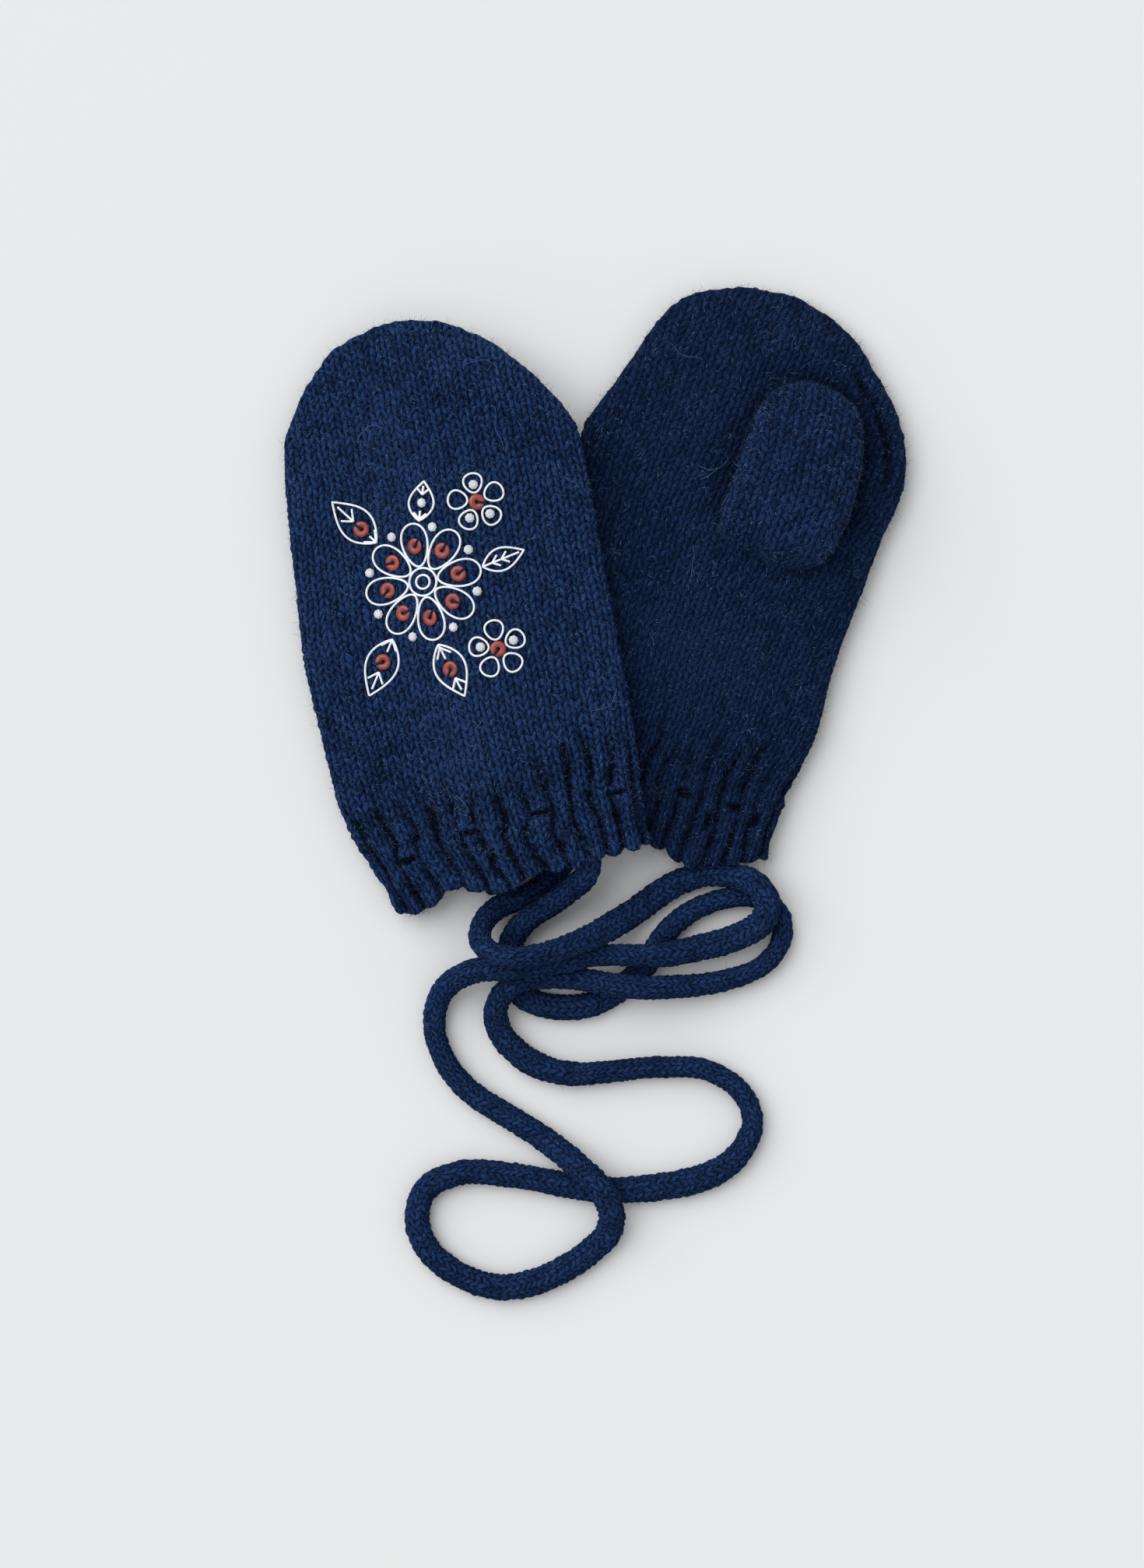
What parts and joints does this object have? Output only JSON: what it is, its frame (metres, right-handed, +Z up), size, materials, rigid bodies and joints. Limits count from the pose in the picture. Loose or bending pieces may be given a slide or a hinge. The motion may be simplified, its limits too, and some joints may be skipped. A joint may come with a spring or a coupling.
{
  "type": "pair of knitted mittens joined by a cord",
  "caption": "Flat-lying pair of navy knitted mittens with ribbed cuffs, joined by a long knitted cord; a trimmed blossom on one back",
  "frame": {"origin": "the middle of the two mittens' own box, on the surface they lie on, with the cord left out of account", "axes": "+X to the right across the pair, +Y from the cuffs to the fingertips, +Z up from the surface"},
  "size_m": [0.1999, 0.3255, 0.0248],
  "materials": {
    "navy_wool": "matt knitted wool with short fibres standing off it",
    "red_sequin": "satin brick-red sequin",
    "clear_stone": "polished clear stone with a foiled back"
  },
  "bodies": {
    "root": {"left_cuff": "navy_wool", "left_hand": "navy_wool", "left_thumb": "navy_wool", "right_cuff": "navy_wool", "right_hand": "navy_wool", "right_thumb": "navy_wool", "cord": "navy_wool", "sequin_01": "red_sequin", "sequin_02": "red_sequin", "sequin_03": "red_sequin", "sequin_04": "red_sequin", "sequin_05": "red_sequin", "sequin_06": "red_sequin", "sequin_07": "red_sequin", "sequin_08": "red_sequin", "sequin_09": "red_sequin", "sequin_10": "red_sequin", "sequin_11": "red_sequin", "sequin_12": "red_sequin", "sequin_13": "red_sequin", "rhinestone_01": "clear_stone", "rhinestone_02": "clear_stone", "rhinestone_03": "clear_stone", "rhinestone_04": "clear_stone", "rhinestone_05": "clear_stone", "rhinestone_06": "clear_stone", "rhinestone_07": "clear_stone", "rhinestone_08": "clear_stone", "rhinestone_09": "clear_stone", "rhinestone_10": "clear_stone", "rhinestone_11": "clear_stone", "rhinestone_12": "clear_stone", "rhinestone_13": "clear_stone", "rhinestone_14": "clear_stone"}
  },
  "joints": []
}
